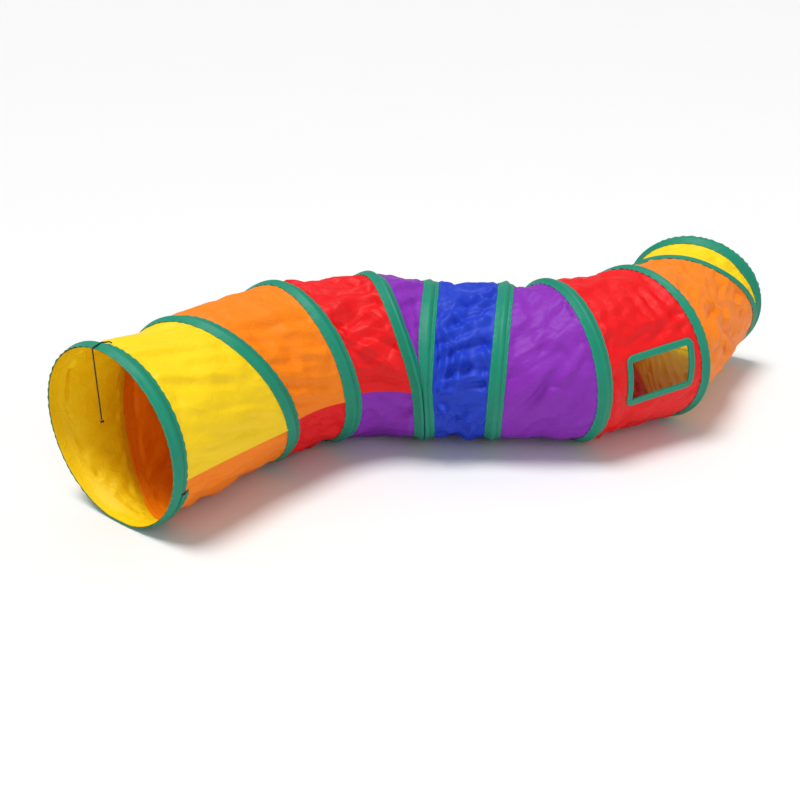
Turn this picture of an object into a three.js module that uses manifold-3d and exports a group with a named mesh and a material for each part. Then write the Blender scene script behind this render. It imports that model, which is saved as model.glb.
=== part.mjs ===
// A pop-up cat tunnel: strips of bright cloth on one coiled spring wire, standing on the floor in an S.
// Millimetres, +Z up, the floor at z = 0. The front mouth is at -X -Y and the far mouth at +X +Y.
//
// The wire winds like a coil spring. A place on it is its turn, counted from the front hoop: at a whole
// number it crosses the cloth's end seams, low on the near side, and from there it runs under the tunnel,
// up the far side, over the top and down the near side to the next seam. The cloth between two turns is
// one strip, and each strip starts where the one before it ends.

import * as THREE from "three";
import { mergeVertices } from "three/addons/utils/BufferGeometryUtils.js";
import Module from "manifold-3d";

const wasm = await Module();
wasm.setup();

// Driving dimensions
const TURN_LENGTH = 250 * Math.PI; // over the tape's ridge
const STEPS = 24; // straight steps in a turn
const SEAM_ANGLE = -22.5; // degrees above the near side at which the strips' end seams lie
const WIRE_START = 0; // turn at which the coil leaves the front hoop
const WIRE_END = 8 + 2 / STEPS; // turn at which it joins the back hoop
const NEAREST_TURNS = 6.4; // the least distance between two turns
const GAP = 0.35; // between pieces that lie on each other
const TAPE_GAP = 0.7; // between the tape's edge and the cloth
const SEAM_GAP = 0.4; // between the ends of two strips

const CLOTH = 1; // thickness, with the cloth's outer face at a lift of 0
const TAPE = 1;
const TAPE_HALF_WIDTH = 11.5;
const RIDGE = 4; // lift of the tape's outer face over the wire
const RIDGE_HALF_WIDTH = 1.3;
const WIRE_RADIUS = 1.2;
const WIRE_LIFT = 1.5; // of the wire's centre
const WIRE_SIDES = 6;
const CLOTH_EDGE = 2; // from the wire's centre to the strip's edge

const SINK = 1.5; // how far the tunnel's weight flattens each turn on the floor
const HOURGLASS = 1.5; // how far a taut strip draws in between two turns
const FOLD_SHARE = 0.12; // how far slack cloth folds in, for each mm of slack
const DEEPEST_FOLD = 12;
const STEEPEST_FOLD = 0.3; // a fold's depth against the width that the tape leaves open

// Where each turn of the wire stands, its width and height, its yaw in degrees from +X and its lean, with the top
// forward. It holds its own plane from lead turns before its seam to lag turns after it, and passes
// smoothly to the next plane between them. cut is the width of the cloth from the turn before it.
const HOOPS = [
  { x: -359, y: -372, yaw: 52, lean: 0, wide: 250, height: 250, lead: 0, lag: 0, cut: 130 },
  { x: -248, y: -237, yaw: 58, lean: -19.5, wide: 250, height: 262, lead: 0.3, lag: 0.15, cut: 165 },
  { x: -143, y: -141, yaw: 39, lean: -10.5, wide: 250, height: 260, lead: 0.3, lag: 0.15, cut: 155 },
  { x: -3, y: -118, yaw: 14.5, lean: -13, wide: 248, height: 264, lead: 0.27, lag: 0.15, cut: 165 },
  { x: 41, y: -108, yaw: -4, lean: 2, wide: 250, height: 236, lead: 0.3, lag: 0.15, cut: 85 },
  { x: 148, y: -111, yaw: -7, lean: 2.5, wide: 250, height: 236, lead: 0.35, lag: 0.15, cut: 118 },
  { x: 238, y: -124, yaw: 22.5, lean: -6, wide: 250, height: 248, lead: 0.32, lag: 0.15, cut: 105 },
  { x: 378, y: -48, yaw: 35.5, lean: -10, wide: 250, height: 250, lead: 0.35, lag: 0.12, cut: 165 },
  { x: 477, y: 141, yaw: 66, lean: -22.5, wide: 234, height: 232, lead: 0.6, lag: -0.25, cut: 230 },
  { x: 512, y: 190, yaw: 61, lean: -14, wide: 234, height: 232, lead: 0.92, lag: 0, cut: 120 },
];
const BACK = HOOPS.length - 1;

const YELLOW = 0xf8d42a;
const ORANGE = 0xff8a12;
const RED = 0xdf1a1c;
const PURPLE = 0x7f2fa0;
const BLUE = 0x2341b8;

// The strips from the front
const NEAR_SEAM = -1 / STEPS; // the earlier seams lie a little above the seam angle
const HIDDEN_SEAM = 8 / STEPS; // and the later ones under the far side
const STRIPS = [
  { name: "cloth_yellow_front", from: 0, to: 1 + NEAR_SEAM, colour: YELLOW },
  { name: "cloth_orange_front", from: 1 + NEAR_SEAM, to: 2 + NEAR_SEAM, colour: ORANGE },
  { name: "cloth_red_front", from: 2 + NEAR_SEAM, to: 3 + NEAR_SEAM, colour: RED },
  { name: "cloth_purple_front", from: 3 + NEAR_SEAM, to: 4, colour: PURPLE },
  { name: "cloth_blue", from: 4, to: 5 + NEAR_SEAM, colour: BLUE },
  { name: "cloth_blue_join", from: 5 + NEAR_SEAM, to: 5 + HIDDEN_SEAM, colour: BLUE },
  { name: "cloth_purple_back", from: 5 + HIDDEN_SEAM, to: 6 + HIDDEN_SEAM, colour: PURPLE },
  { name: "cloth_red_window", from: 6 + HIDDEN_SEAM, to: 7 + HIDDEN_SEAM, colour: RED },
  { name: "cloth_orange_back", from: 7 + HIDDEN_SEAM, to: WIRE_END, colour: ORANGE },
  { name: "cloth_yellow_back", from: WIRE_END, to: WIRE_END + 1, colour: YELLOW },
];
const HEM = 10.5; // how far the cloth reaches past the wire at a mouth

// The window in the red strip, near the middle of its width on the near side and turned by some degrees
const WINDOW = { turn: 6.927, across: 0.54, width: 122, height: 77, corner: 12, turned: 4 };
const BINDING_WIDTH = 10;
const CLOTH_IN_BINDING = BINDING_WIDTH - TAPE - 0.4; // how deep the cloth's cut edge sits in it

// The string hangs from the top of the front hoop. Each row is how far back from the wire along the
// tunnel, and how high over the cloth, its middle lies.
const STRING = { angle: 92, radius: 0.9, sides: 8, steps: 40, hangs: 95, knot: 3 };
const STRING_OVER_TAPE = [
  { back: 15, lift: -0.6 },
  { back: 12, lift: 1.9 },
  { back: 6.5, lift: 3.1 },
  { back: 1.5, lift: 4.4 },
  { back: -1.8, lift: 4.4 },
  { back: -6.5, lift: 3.3 },
  { back: -11.1, lift: 2.3 },
  { back: -13.2, lift: 0.8 },
  { back: -13.7, lift: -2 },
];

const UP = new THREE.Vector3(0, 0, 1);
const { lerp, degToRad, smoothstep } = THREE.MathUtils;

// Two turns closer than the least distance are pushed apart by this much, and others by next to nothing.
const SOFTNESS = 2;
const shortfall = (gap) => {
  const short = NEAREST_TURNS - gap;
  return (short + Math.hypot(short, SOFTNESS)) / 2;
};

// The plane in which the wire lies at a turn
function planeAt(turn) {
  const t = Math.min(Math.max(turn, 0), BACK);
  const k = Math.min(HOOPS.findLastIndex((hoop, i) => t >= i + hoop.lag), BACK - 1);
  const here = HOOPS[k];
  const next = HOOPS[k + 1];
  const share = smoothstep(t, k + here.lag, k + 1 - next.lead);
  const mix = (key) => lerp(here[key], next[key], share);
  const yaw = degToRad(mix("yaw"));
  const lean = degToRad(mix("lean"));
  const high = mix("height") / 2;
  const forward = new THREE.Vector3(Math.cos(yaw), Math.sin(yaw), 0);
  return {
    forward,
    wide: mix("wide") / 2,
    high,
    side: new THREE.Vector3(Math.sin(yaw), -Math.cos(yaw), 0),
    rise: UP.clone().multiplyScalar(Math.cos(lean)).addScaledVector(forward, Math.sin(lean)),
    axis: forward.clone().multiplyScalar(Math.cos(lean)).addScaledVector(UP, -Math.sin(lean)),
    centre: new THREE.Vector3(mix("x"), mix("y"), high * Math.cos(lean) - SINK),
  };
}

const angleAt = (turn) => degToRad(SEAM_ANGLE - 360 * turn);

// A point on the cloth under the wire: at is the place, out points away from the tunnel's inside, and
// axis runs along the tunnel.
function ringPoint(plane, angle) {
  const out = plane.side.clone().multiplyScalar(Math.cos(angle)).addScaledVector(plane.rise, Math.sin(angle));
  const at = plane.centre
    .clone()
    .addScaledVector(plane.side, (plane.wide - RIDGE) * Math.cos(angle))
    .addScaledVector(plane.rise, (plane.high - RIDGE) * Math.sin(angle));
  return { at, out, axis: plane.axis, forward: plane.forward };
}

const frontHoop = (turn) => ringPoint(planeAt(0), angleAt(turn));
const backHoop = (turn) => ringPoint(planeAt(BACK), angleAt(turn));

function freeWire(turn) {
  if (turn <= WIRE_START) return frontHoop(turn);
  if (turn > WIRE_END) return backHoop(turn);
  return ringPoint(planeAt(turn), angleAt(turn));
}

// The coil, with its turns held apart. The two hoops stay put, and the coil gives way to them.
function coil(turn) {
  const here = ringPoint(planeAt(turn), angleAt(turn));
  const before = freeWire(turn - 1);
  const after = freeWire(turn + 1);
  const behind = here.at.clone().sub(before.at).dot(here.forward);
  const ahead = after.at.clone().sub(here.at).dot(here.forward);
  const fromBefore = shortfall(behind) * (turn - 1 <= WIRE_START ? 1 : 0.5);
  const fromAfter = shortfall(ahead) * (turn + 1 > WIRE_END ? 1 : 0.5);
  here.at.addScaledVector(here.forward, fromBefore - fromAfter);
  return here;
}

// The wire at a turn, with the turn before the coil on the front hoop and the turn after it on the back hoop
function wireAt(turn) {
  const slack = 1e-9;
  if (turn < WIRE_START - slack) return frontHoop(turn);
  if (turn > WIRE_END + slack) return backHoop(turn);
  return coil(turn);
}

// The cloth's cut width changes from one section to the next under the far side.
const CUT_CHANGE = { from: 0.2, to: 0.6 };
function cutWidth(turn) {
  const k = Math.min(Math.floor(turn), BACK);
  const next = Math.min(k + 1, BACK);
  return lerp(HOOPS[k].cut, HOOPS[next].cut, smoothstep(turn - k, CUT_CHANGE.from, CUT_CHANGE.to));
}

// Nothing lies lower than the tape's ridge, which rests on the floor.
const overFloor = (point, lift) => point.setZ(Math.max(point.z, RIDGE - lift));

// A point over the strip that ends at a turn: across runs from 0 at the earlier wire to 1 at the later
function overStrip(turn, across, lift) {
  const a = wireAt(turn - 1);
  const b = wireAt(turn);
  const span = b.at.clone().sub(a.at);
  const width = span.length();
  const slack = Math.max(cutWidth(turn) - width, 0);
  const open = Math.max(width - 2 * TAPE_HALF_WIDTH, 0);
  const fold = Math.min(HOURGLASS + FOLD_SHARE * slack, DEEPEST_FOLD, STEEPEST_FOLD * open);
  const along = span.divideScalar(width);
  const mean = a.out.clone().lerp(b.out, across);
  const out = mean.addScaledVector(along, -mean.dot(along)).normalize();
  const slope = (4 * fold * (1 - 2 * across)) / width;
  const normal = out.clone().addScaledVector(along, slope).normalize();
  const point = a.at
    .clone()
    .lerp(b.at, across)
    .addScaledVector(out, -4 * fold * across * (1 - across))
    .addScaledVector(normal, lift);
  return overFloor(point, lift);
}

const stripWidth = (turn) => wireAt(turn).at.distanceTo(wireAt(turn - 1).at);

// A point beside the wire: along the tunnel and over the cloth
function besideWire(wire, along, lift) {
  return overFloor(wire.at.clone().addScaledVector(wire.axis, along).addScaledVector(wire.out, lift), lift);
}

// Turns from one to another, a step apart, with each end drawn in by half a seam's gap
function stations(from, to, gap = SEAM_GAP) {
  const inset = gap / 2 / TURN_LENGTH;
  const first = Math.round(from * STEPS);
  const last = Math.round(to * STEPS);
  const turns = Array.from({ length: last - first + 1 }, (_, i) => (first + i) / STEPS);
  turns[0] += inset;
  turns[turns.length - 1] -= inset;
  return turns;
}

// A closed body through sections of the same even number of points, each in order round its outline
function sweep(sections, closed = false) {
  const around = sections[0].length;
  const positions = sections.flat().flatMap((p) => p.toArray());
  const index = [];
  const quad = (a, b, c, d) => index.push(a, b, c, a, c, d);
  const spans = closed ? sections.length : sections.length - 1;
  for (let i = 0; i < spans; i++) {
    const here = i * around;
    const next = ((i + 1) % sections.length) * around;
    for (let j = 0; j < around; j++) {
      const k = (j + 1) % around;
      quad(here + j, here + k, next + k, next + j);
    }
  }
  if (!closed) {
    const last = (sections.length - 1) * around;
    for (let j = 0; j < around / 2 - 1; j++) {
      const [p, q, r, s] = [j, j + 1, around - 2 - j, around - 1 - j];
      quad(s, r, q, p);
      quad(last + p, last + q, last + r, last + s);
    }
  }
  const geometry = new THREE.BufferGeometry();
  geometry.setAttribute("position", new THREE.Float32BufferAttribute(positions, 3));
  geometry.setIndex(index);
  return geometry;
}

// A closed geometry whose faces point in is turned round.
function facingOut(geometry) {
  const p = geometry.getAttribute("position");
  const index = geometry.getIndex();
  const [a, b, c] = [new THREE.Vector3(), new THREE.Vector3(), new THREE.Vector3()];
  let volume = 0;
  for (let i = 0; i < index.count; i += 3) {
    a.fromBufferAttribute(p, index.getX(i));
    b.fromBufferAttribute(p, index.getX(i + 1));
    c.fromBufferAttribute(p, index.getX(i + 2));
    volume += a.dot(b.cross(c));
  }
  if (volume < 0) geometry.setIndex(Array.from(index.array).reverse());
  return geometry;
}

function toSolid(geometry) {
  const bare = geometry.clone();
  bare.deleteAttribute("normal");
  bare.deleteAttribute("uv");
  const merged = mergeVertices(bare, 1e-4);
  return new wasm.Manifold(
    new wasm.Mesh({
      numProp: 3,
      vertProperties: merged.getAttribute("position").array,
      triVerts: new Uint32Array(merged.getIndex().array),
    }),
  );
}

function toGeometry(solid) {
  const { vertProperties, triVerts } = solid.getMesh();
  const geometry = new THREE.BufferGeometry();
  geometry.setAttribute("position", new THREE.BufferAttribute(vertProperties, 3));
  geometry.setIndex(new THREE.BufferAttribute(triVerts, 1));
  return geometry;
}

const fabric = (colour) => new THREE.MeshStandardMaterial({ color: colour, roughness: 0.55, metalness: 0 });
const steel = new THREE.MeshStandardMaterial({ color: 0x9aa0a4, roughness: 0.35, metalness: 1 });
const greenTape = fabric(0x178a6e);
const blackCord = fabric(0x111111);

function piece(name, geometry, material) {
  geometry.computeVertexNormals();
  const mesh = new THREE.Mesh(geometry, material);
  mesh.name = name;
  return mesh;
}

// Places across a strip: its edges, the tape's edges on it, and between them
const BETWEEN_TAPES = [0, 1 / 3, 2 / 3, 1];
function acrossStrip(turn) {
  const width = stripWidth(turn);
  const tape = Math.min(TAPE_HALF_WIDTH, width / 2 - GAP) / width;
  const edge = CLOTH_EDGE / width;
  return [edge, ...BETWEEN_TAPES.map((s) => lerp(tape, 1 - tape, s)), 1 - edge];
}

// A strip of cloth, or a layer at other lifts on it. At a mouth it reaches on under the hoop's wire.
function stripLayer({ from, to }, low, high) {
  const sections = stations(from, to).map((turn) => {
    const row = (lift) => {
      const points = acrossStrip(turn).map((v) => overStrip(turn, v, lift));
      const hem = (hoop, away) => [HEM, -CLOTH_EDGE].map((along) => besideWire(hoop(turn), along * away, lift));
      if (from === WIRE_START) points.splice(0, 1, ...hem(frontHoop, -1));
      if (from === WIRE_END) points.splice(-1, 1, ...hem(backHoop, 1).reverse());
      return points;
    };
    return [...row(high), ...row(low).reverse()];
  });
  return facingOut(sweep(sections));
}

// The tape's section on the coil: from its front edge over the wire to its back edge
function tapeSection(turn) {
  const before = stripWidth(turn);
  const after = stripWidth(turn + 1);
  const front = 1 - Math.min(TAPE_HALF_WIDTH, before / 2 - GAP) / before;
  const back = Math.min(TAPE_HALF_WIDTH, after / 2 - GAP) / after;
  const wire = wireAt(turn);
  const inner = RIDGE_HALF_WIDTH - 0.3;
  return [
    overStrip(turn, front, TAPE_GAP + TAPE),
    besideWire(wire, -RIDGE_HALF_WIDTH, RIDGE),
    besideWire(wire, RIDGE_HALF_WIDTH, RIDGE),
    overStrip(turn + 1, back, TAPE_GAP + TAPE),
    overStrip(turn + 1, back, TAPE_GAP),
    besideWire(wire, inner, RIDGE - TAPE),
    besideWire(wire, -inner, RIDGE - TAPE),
    overStrip(turn, front, TAPE_GAP),
  ];
}

// The tape's section on a mouth's hoop. away is -1 on the front hoop and 1 on the back hoop, the way out
// of the tunnel, and at gives a point over the strip on the other side of the wire.
function mouthSection(wire, away, at) {
  const beside = (along, lift) => besideWire(wire, along * away, lift);
  const inner = RIDGE_HALF_WIDTH - 0.3;
  return [
    beside(TAPE_HALF_WIDTH, TAPE_GAP + TAPE),
    beside(RIDGE_HALF_WIDTH, RIDGE),
    beside(-RIDGE_HALF_WIDTH, RIDGE),
    at(TAPE_GAP + TAPE),
    at(TAPE_GAP),
    beside(-inner, RIDGE - TAPE),
    beside(inner, RIDGE - TAPE),
    beside(TAPE_HALF_WIDTH, TAPE_GAP),
  ];
}

const wholeTurn = (start) => Array.from({ length: STEPS }, (_, i) => start + i / STEPS);

function frontTape() {
  const sections = wholeTurn(0).map((turn) => {
    const width = stripWidth(turn);
    const edge = Math.min(TAPE_HALF_WIDTH, width / 2 - GAP) / width;
    return mouthSection(frontHoop(turn), -1, (lift) => overStrip(turn, edge, lift));
  });
  return facingOut(sweep(sections, true));
}

// The back hoop's turns follow the coil's end.
function backTape() {
  const sections = wholeTurn(WIRE_END + 1 / STEPS).map((turn) => {
    const width = stripWidth(turn);
    const edge = 1 - Math.min(TAPE_HALF_WIDTH, width / 2 - GAP) / width;
    return mouthSection(backHoop(turn), 1, (lift) => overStrip(turn, edge, lift));
  });
  return facingOut(sweep(sections, true));
}

function wireSection(wire) {
  return Array.from({ length: WIRE_SIDES }, (_, i) => {
    const a = (2 * Math.PI * i) / WIRE_SIDES;
    return besideWire(wire, WIRE_RADIUS * Math.cos(a), WIRE_LIFT + WIRE_RADIUS * Math.sin(a));
  });
}

const hoopWire = (hoop) => facingOut(sweep(wholeTurn(0).map((turn) => wireSection(hoop(turn))), true));
const coilWire = () =>
  facingOut(sweep(stations(WIRE_START, WIRE_END, 1).map((turn) => wireSection(wireAt(turn)))));

// A prism through the near wall, square to the strip at the window's middle
function windowPrism(width, height, corner) {
  const { turn, across } = WINDOW;
  const centre = overStrip(turn, across, 0);
  const right = overStrip(turn, across + 0.2, 0).sub(overStrip(turn, across - 0.2, 0)).normalize();
  const up = overStrip(turn - 0.03, across, 0).sub(overStrip(turn + 0.03, across, 0)).normalize();
  const outward = right.clone().cross(up).normalize();
  const upright = outward.clone().cross(right);
  const [w, h] = [width / 2, height / 2];
  const outline = new THREE.Shape();
  outline.moveTo(-w + corner, -h);
  outline.lineTo(w - corner, -h).absarc(w - corner, -h + corner, corner, -Math.PI / 2, 0);
  outline.lineTo(w, h - corner).absarc(w - corner, h - corner, corner, 0, Math.PI / 2);
  outline.lineTo(-w + corner, h).absarc(-w + corner, h - corner, corner, Math.PI / 2, Math.PI);
  outline.lineTo(-w, -h + corner).absarc(-w + corner, -h + corner, corner, Math.PI, 1.5 * Math.PI);
  const depth = 60;
  const prism = new THREE.ExtrudeGeometry(outline, { depth, bevelEnabled: false, curveSegments: 3 });
  prism.translate(0, 0, -depth / 2).rotateZ(degToRad(WINDOW.turned));
  prism.applyMatrix4(new THREE.Matrix4().makeBasis(right, upright, outward).setPosition(centre));
  return toSolid(prism);
}

// The window's outline, drawn in by a margin all round
const windowWithin = (margin) =>
  windowPrism(WINDOW.width - 2 * margin, WINDOW.height - 2 * margin, Math.max(WINDOW.corner - margin, 3));

function cutStrip(strip) {
  return toGeometry(toSolid(stripLayer(strip, -CLOTH, 0)).subtract(windowWithin(CLOTH_IN_BINDING)));
}

// The binding is folded over the window's cut edge and grips the cloth between its two faces.
function windowBinding(strip) {
  const around = windowWithin(0).subtract(windowWithin(BINDING_WIDTH));
  const whole = toSolid(stripLayer(strip, -CLOTH - GAP - TAPE, GAP + TAPE)).intersect(around);
  const gripped = toSolid(stripLayer(strip, -CLOTH - GAP, GAP)).subtract(windowWithin(BINDING_WIDTH - TAPE));
  return toGeometry(whole.subtract(gripped));
}

function stringRoute() {
  const wire = ringPoint(planeAt(0), degToRad(STRING.angle));
  const over = STRING_OVER_TAPE.map(({ back, lift }) => besideWire(wire, back, lift));
  const rim = over.at(-1);
  const step = 4;
  const hanging = Array.from({ length: Math.floor(STRING.hangs / step) }, (_, i) =>
    rim.clone().addScaledVector(UP, -step * (i + 1)),
  );
  return new THREE.CatmullRomCurve3([...over, ...hanging]);
}

function stringGeometry(route) {
  const corners = Array.from({ length: STRING.sides }, (_, i) => {
    const a = (2 * Math.PI * i) / STRING.sides;
    return new THREE.Vector2(Math.cos(a), Math.sin(a)).multiplyScalar(STRING.radius);
  });
  return new THREE.ExtrudeGeometry(new THREE.Shape(corners), { steps: STRING.steps, extrudePath: route });
}

function knotGeometry(route) {
  const { knot } = STRING;
  const profile = [
    [0, -1],
    [0.7, -0.75],
    [1, 0],
    [0.75, 0.7],
    [0.4, 0.9],
    [0, 0.9],
  ].map(([r, z]) => new THREE.Vector2(knot * r * 0.9, knot * z));
  const geometry = new THREE.LatheGeometry(profile, STRING.sides);
  const end = route.getPoint(1);
  return geometry.rotateX(Math.PI / 2).translate(end.x, end.y, end.z - knot * 0.9);
}

const tunnel = new THREE.Group();

tunnel.add(piece("front_hoop", hoopWire(frontHoop), steel));
tunnel.add(piece("spring_wire", coilWire(), steel));
tunnel.add(piece("back_hoop", hoopWire(backHoop), steel));

tunnel.add(piece("tape_front_hoop", frontTape(), greenTape));
const TAPE_JOINT = 6 / STEPS; // past each seam, under the tunnel
for (let turn = 1; turn <= 8; turn++) {
  const from = turn === 1 ? WIRE_START : turn - 1 + TAPE_JOINT;
  const to = turn === 8 ? WIRE_END : turn + TAPE_JOINT;
  const sections = stations(from, to).map(tapeSection);
  tunnel.add(piece("tape_turn_" + turn, facingOut(sweep(sections)), greenTape));
}
tunnel.add(piece("tape_back_hoop", backTape(), greenTape));

for (const strip of STRIPS) {
  const windowed = strip.name === "cloth_red_window";
  const geometry = windowed ? cutStrip(strip) : stripLayer(strip, -CLOTH, 0);
  tunnel.add(piece(strip.name, geometry, fabric(strip.colour)));
  if (windowed) tunnel.add(piece("window_binding", windowBinding(strip), greenTape));
}

const route = stringRoute();
tunnel.add(piece("string", stringGeometry(route), blackCord));
tunnel.add(piece("string_knot", knotGeometry(route), blackCord));

// The origin is under the middle of the whole tunnel's box.
const box = new THREE.Box3().setFromObject(tunnel, true);
tunnel.position.set(-(box.min.x + box.max.x) / 2, -(box.min.y + box.max.y) / 2, 0);

export default tunnel;
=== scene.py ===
"""Dresses the solids of a pop-up cat tunnel: creased cloth, stitched tape over the spring wire, the window's
binding, the mouth's string, and a plain pale studio. Run it in Blender 4.5."""

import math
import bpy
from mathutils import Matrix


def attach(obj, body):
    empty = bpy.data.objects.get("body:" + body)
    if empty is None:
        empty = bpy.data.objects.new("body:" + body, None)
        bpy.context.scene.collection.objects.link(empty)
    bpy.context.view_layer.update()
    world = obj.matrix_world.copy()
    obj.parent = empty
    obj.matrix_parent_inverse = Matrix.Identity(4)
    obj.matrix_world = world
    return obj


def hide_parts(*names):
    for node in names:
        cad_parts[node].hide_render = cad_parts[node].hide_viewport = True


bl_info = {
    "name": "Cat Tunnel",
    "version": (1, 0, 0),
    "blender": (4, 5, 0),
    "location": "View3D > Sidebar > Cat Tunnel",
    "description": "Dresses a pop-up cat tunnel with cloth, tape and string",
    "category": "Add Mesh",
}

import bpy
import numpy as np
from bpy.props import FloatProperty, FloatVectorProperty, PointerProperty
from bpy.types import Operator, Panel, PropertyGroup

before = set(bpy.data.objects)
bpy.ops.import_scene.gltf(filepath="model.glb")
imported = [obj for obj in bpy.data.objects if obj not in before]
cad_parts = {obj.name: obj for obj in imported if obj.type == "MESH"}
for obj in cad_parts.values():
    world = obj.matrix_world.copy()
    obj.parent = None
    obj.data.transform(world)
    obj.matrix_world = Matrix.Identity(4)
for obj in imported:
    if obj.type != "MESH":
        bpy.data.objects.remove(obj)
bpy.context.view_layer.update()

# Sizes are in millimetres up to the making of a mesh, and OFFSET moves the path into the frame.
MM = 0.001
OFFSET = np.array([-78.33, 97.81, 0.0])

# Turns are counted from the front hoop, and a whole turn lies at this angle round the wire
SEAM_ANGLE = -22.5
WIRE_START = 0.0
WIRE_END = 8 + 2 / 24
TURN_LENGTH = 250 * math.pi

# How near two turns of the wire come, how softly they are held apart, and how far the hoops press down
NEAREST_TURNS = 6.4
SOFTNESS = 2.0
SINK = 1.5

# The ridge that the wire makes under the tape, and how far the cloth draws in between two turns
RIDGE = 4.0
RIDGE_HALF_WIDTH = 1.3
HOURGLASS = 1.5
FOLD_SHARE = 0.12
DEEPEST_FOLD = 12.0
STEEPEST_FOLD = 0.3

# The tape, with its gap over the cloth, its fold line, its columns to a side and the unevenness of its edge
TAPE_HALF_WIDTH = 11.5
TAPE_GAP = 0.35
TAPE_FOLD_DEPTH = 0.9
TAPE_FOLD_AT = 0.42
TAPE_COLUMNS = 9
TAPE_TRIM = 0.03
PUCKER_PITCH = 2.1

# The cloth's distance from the wire, its hems at the mouths and round the wire, and its room over the floor
CLOTH_FROM_WIRE = 0.4
HEM = 10.5
HEM_COLUMNS = 5
CASING = 12.0
CASING_DEPTH = 0.9
CASING_TUCK = 4.0
FLOOR_ROOM = 0.4

# An end seam: how far one strip laps over the next, how high it stands, the depth of its stitched dip, and
# the stretch beside it over which the creases grow
SEAM_OVERLAP = 5.0
SEAM_STEP = 0.7
SEAM_DIP = 0.5
SEAM_CALM = (4, 16)

# The cloth's long wrinkles and their width, its broad waves, the gathers beside the tape with their depth,
# and how far from the tape they reach and the creases start
WRINKLE = (70, 13)
WAVE = 45
GATHER_PITCH = 2.3
GATHER_DEPTH = 0.35
BESIDE_TAPE = 9

# Where a strip's first edge lies on its weave
WEAVE_START = 20

# How fine the cloth's mesh is across a strip, and how many steps go round a turn
SAMPLE = 2.4
STEPS_IN_TURN = 360

# The camera, in front of the path's middle: how far back and how high, its tilt in degrees and its lens
CAMERA_BACK = 1552.6
CAMERA_UP = 724.0
CAMERA_TILT = 65
CAMERA_LENS = 47.25
FLOOR_HALF_SIZE = 60

# Where each turn of the wire stands: its yaw from +X and its lean in degrees, its width and height, the part
# of a turn before and after its seam over which it holds its plane, and the cut width of the cloth before it.
# The rows were found by laying such hoops over the photograph's, and then rounded.
HOOP_COLUMNS = ("x", "y", "yaw", "lean", "wide", "height", "lead", "lag", "cut")
HOOP_ROWS = (
    (-359, -372, 52, 0, 250, 250, 0, 0, 130),
    (-248, -237, 58, -19.5, 250, 262, 0.3, 0.15, 165),
    (-143, -141, 39, -10.5, 250, 260, 0.3, 0.15, 155),
    (-3, -118, 14.5, -13, 248, 264, 0.27, 0.15, 165),
    (41, -108, -4, 2, 250, 236, 0.3, 0.15, 85),
    (148, -111, -7, 2.5, 250, 236, 0.35, 0.15, 118),
    (238, -124, 22.5, -6, 250, 248, 0.32, 0.15, 105),
    (378, -48, 35.5, -10, 250, 250, 0.35, 0.12, 165),
    (477, 141, 66, -22.5, 234, 232, 0.6, -0.25, 230),
    (512, 190, 61, -14, 234, 232, 0.92, 0, 120),
)
HOOPS = {name: np.array([row[i] for row in HOOP_ROWS], float) for i, name in enumerate(HOOP_COLUMNS)}
BACK = len(HOOP_ROWS) - 1
UP = np.array([0.0, 0.0, 1.0])

HIDDEN_SEAM = 8 / 24
# Each strip's first and last turn, and its colour
STRIP_COLUMNS = ("node", "first", "last", "colour")
STRIP_ROWS = (
    ("cloth_yellow_front", 0, 0.968, "yellow"),
    ("cloth_orange_front", 0.968, 1.956, "orange"),
    ("cloth_red_front", 1.956, 2.944, "red"),
    ("cloth_purple_front", 2.944, 4, "purple"),
    ("cloth_blue", 4, 4.95, "blue"),
    ("cloth_blue_join", 4.95, 5 + HIDDEN_SEAM, "blue"),
    ("cloth_purple_back", 5 + HIDDEN_SEAM, 6 + HIDDEN_SEAM, "purple"),
    ("cloth_red_window", 6 + HIDDEN_SEAM, 7 + HIDDEN_SEAM, "red"),
    ("cloth_orange_back", 7 + HIDDEN_SEAM, WIRE_END, "orange"),
    ("cloth_yellow_back", WIRE_END, WIRE_END + 1, "yellow"),
)
STRIPS = [dict(zip(STRIP_COLUMNS, row)) for row in STRIP_ROWS]


def smoothstep(x, low, high):
    share = np.clip((x - low) / (high - low), 0, 1)
    return share * share * (3 - 2 * share)


def unit(v):
    return v / np.linalg.norm(v, axis=-1, keepdims=True)


def dot(a, b):
    return np.sum(a * b, axis=-1, keepdims=True)


# The wire's path and the cloth between its turns, as in the solids


def plane_at(turn):
    """The plane in which the wire lies at each turn: its directions, centre and half height."""
    t = np.clip(turn, 0, BACK)
    starts = np.arange(BACK + 1) + HOOPS["lag"]
    k = np.clip(np.searchsorted(starts, t, side="right") - 1, 0, BACK - 1)
    share = smoothstep(t, starts[k], k + 1 - HOOPS["lead"][k + 1])
    mix = {name: values[k] + (values[k + 1] - values[k]) * share for name, values in HOOPS.items()}
    yaw, lean = np.radians(mix["yaw"]), np.radians(mix["lean"])
    flat = np.zeros_like(yaw)
    forward = np.stack([np.cos(yaw), np.sin(yaw), flat], -1)
    side = np.stack([np.sin(yaw), -np.cos(yaw), flat], -1)
    cos_lean, sin_lean = np.cos(lean)[:, None], np.sin(lean)[:, None]
    high = mix["height"] / 2
    return {
        "forward": forward,
        "side": side,
        "rise": UP * cos_lean + forward * sin_lean,
        "axis": forward * cos_lean - UP * sin_lean,
        "centre": np.stack([mix["x"], mix["y"], high * np.cos(lean) - SINK], -1),
        "wide": mix["wide"] / 2,
        "high": high,
    }


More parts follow.
